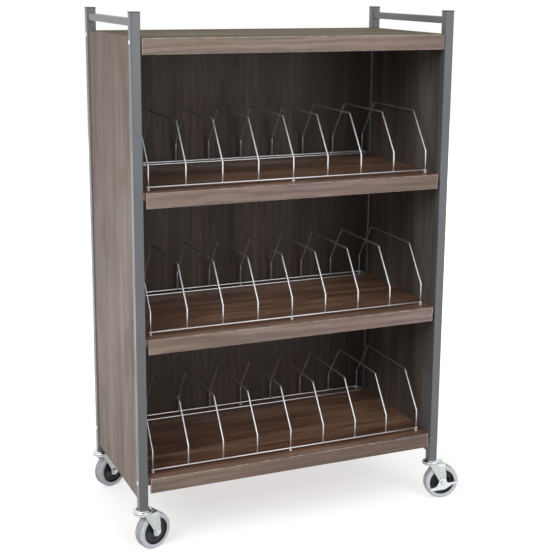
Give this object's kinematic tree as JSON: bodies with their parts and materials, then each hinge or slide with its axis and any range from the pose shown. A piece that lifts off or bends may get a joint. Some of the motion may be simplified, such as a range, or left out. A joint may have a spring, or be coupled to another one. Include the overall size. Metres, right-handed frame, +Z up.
{
  "type": "medical chart rack",
  "caption": "Mobile open-front chart rack with woodgrain shelves, wire binder dividers, steel corner posts, side handle bars and swivel casters.",
  "frame": {"origin": "on the floor, under the centre of the overall box with the casters as parked", "axes": "+X to the right seen from the open front, +Y to the back panel, +Z up"},
  "size_m": [1.0032, 0.5236, 1.4324],
  "materials": {
    "side_laminate": "satin woodgrain laminate, grain upright",
    "lip_laminate": "satin woodgrain laminate, grain along",
    "shelf_laminate": "satin dark woodgrain laminate",
    "top_laminate": "satin woodgrain laminate, grain along",
    "back_laminate": "dark brown laminate",
    "dowel_wood": "plain beech",
    "grey_paint": "satin slate grey powder coat",
    "dark_plastic": "moulded plastic",
    "pale_plastic": "moulded plastic",
    "plated_wire": "bright plated wire",
    "bright_steel": "zinc-plated steel",
    "bright_chrome": "bright chrome",
    "zinc_sheet": "zinc-plated pressed sheet",
    "hub_plastic": "charcoal moulded plastic",
    "grey_tyre": "smooth light grey soft rubber"
  },
  "bodies": {
    "cabinet": {"back_panel": "back_laminate", "back_panel_screws": "bright_steel", "bottom_dividers": "plated_wire", "bottom_front_rail": "plated_wire", "bottom_rear_rail": "plated_wire", "bottom_shelf": "shelf_laminate", "bottom_shelf_lip": "lip_laminate", "caster_cups": "bright_chrome", "caster_stems": "bright_steel", "front_left_post": "grey_paint", "front_right_post": "grey_paint", "left_handle_bar": "grey_paint", "left_side_panel": "side_laminate", "middle_dividers": "plated_wire", "middle_front_rail": "plated_wire", "middle_rear_rail": "plated_wire", "middle_shelf": "shelf_laminate", "middle_shelf_lip": "lip_laminate", "post_bolts": "bright_steel", "post_caps": "dark_plastic", "rack_feet": "pale_plastic", "rear_left_post": "grey_paint", "rear_right_post": "grey_paint", "right_handle_bar": "grey_paint", "right_side_panel": "side_laminate", "shelf_dowels": "dowel_wood", "stem_sockets": "dark_plastic", "top_board": "top_laminate", "top_board_lip": "lip_laminate", "upper_dividers": "plated_wire", "upper_front_rail": "plated_wire", "upper_rear_rail": "plated_wire", "upper_shelf": "shelf_laminate", "upper_shelf_lip": "lip_laminate"},
    "front_left_swivel": {"front_left_fork": "zinc_sheet", "front_left_axle": "bright_steel"},
    "front_left_wheel": {"front_left_hub": "hub_plastic", "front_left_tyre": "grey_tyre"},
    "front_right_swivel": {"front_right_fork": "zinc_sheet", "front_right_axle": "bright_steel"},
    "front_right_wheel": {"front_right_hub": "hub_plastic", "front_right_tyre": "grey_tyre"},
    "front_right_brake": {"front_right_brake_lever": "bright_chrome"},
    "rear_left_swivel": {"rear_left_fork": "zinc_sheet", "rear_left_axle": "bright_steel"},
    "rear_left_wheel": {"rear_left_hub": "hub_plastic", "rear_left_tyre": "grey_tyre"},
    "rear_right_swivel": {"rear_right_fork": "zinc_sheet", "rear_right_axle": "bright_steel"},
    "rear_right_wheel": {"rear_right_hub": "hub_plastic", "rear_right_tyre": "grey_tyre"},
    "rear_right_brake": {"rear_right_brake_lever": "bright_chrome"}
  },
  "joints": [
    {"name": "front_left_swivel_turn", "type": "hinge", "parent": "cabinet", "child": "front_left_swivel", "pos_m": [-0.47562, -0.21472, 0.107], "axis": [0, 0, 1], "continuous": true},
    {"name": "front_left_wheel_roll", "type": "hinge", "parent": "front_left_swivel", "child": "front_left_wheel", "pos_m": [-0.44574, -0.20326, 0.0508], "axis": [-0.3584, 0.9336, 0], "continuous": true},
    {"name": "front_right_swivel_turn", "type": "hinge", "parent": "cabinet", "child": "front_right_swivel", "pos_m": [0.41338, -0.21472, 0.107], "axis": [0, 0, 1], "continuous": true},
    {"name": "front_right_wheel_roll", "type": "hinge", "parent": "front_right_swivel", "child": "front_right_wheel", "pos_m": [0.4448, -0.22083, 0.0508], "axis": [0.1908, 0.9816, 0], "continuous": true},
    {"name": "front_right_brake_press", "type": "hinge", "parent": "front_right_swivel", "child": "front_right_brake", "pos_m": [0.4448, -0.22083, 0.0508], "axis": [0.1908, 0.9816, 0], "range_deg": [0, 14]},
    {"name": "rear_left_swivel_turn", "type": "hinge", "parent": "cabinet", "child": "rear_left_swivel", "pos_m": [-0.47562, 0.21688, 0.107], "axis": [0, 0, 1], "continuous": true},
    {"name": "rear_left_wheel_roll", "type": "hinge", "parent": "rear_left_swivel", "child": "rear_left_wheel", "pos_m": [-0.44616, 0.22938, 0.0508], "axis": [-0.3907, 0.9205, 0], "continuous": true},
    {"name": "rear_right_swivel_turn", "type": "hinge", "parent": "cabinet", "child": "rear_right_swivel", "pos_m": [0.41338, 0.21688, 0.107], "axis": [0, 0, 1], "continuous": true},
    {"name": "rear_right_wheel_roll", "type": "hinge", "parent": "rear_right_swivel", "child": "rear_right_wheel", "pos_m": [0.44443, 0.22462, 0.0508], "axis": [-0.2419, 0.9703, 0], "continuous": true},
    {"name": "rear_right_brake_press", "type": "hinge", "parent": "rear_right_swivel", "child": "rear_right_brake", "pos_m": [0.44443, 0.22462, 0.0508], "axis": [-0.2419, 0.9703, 0], "range_deg": [0, 14]}
  ]
}
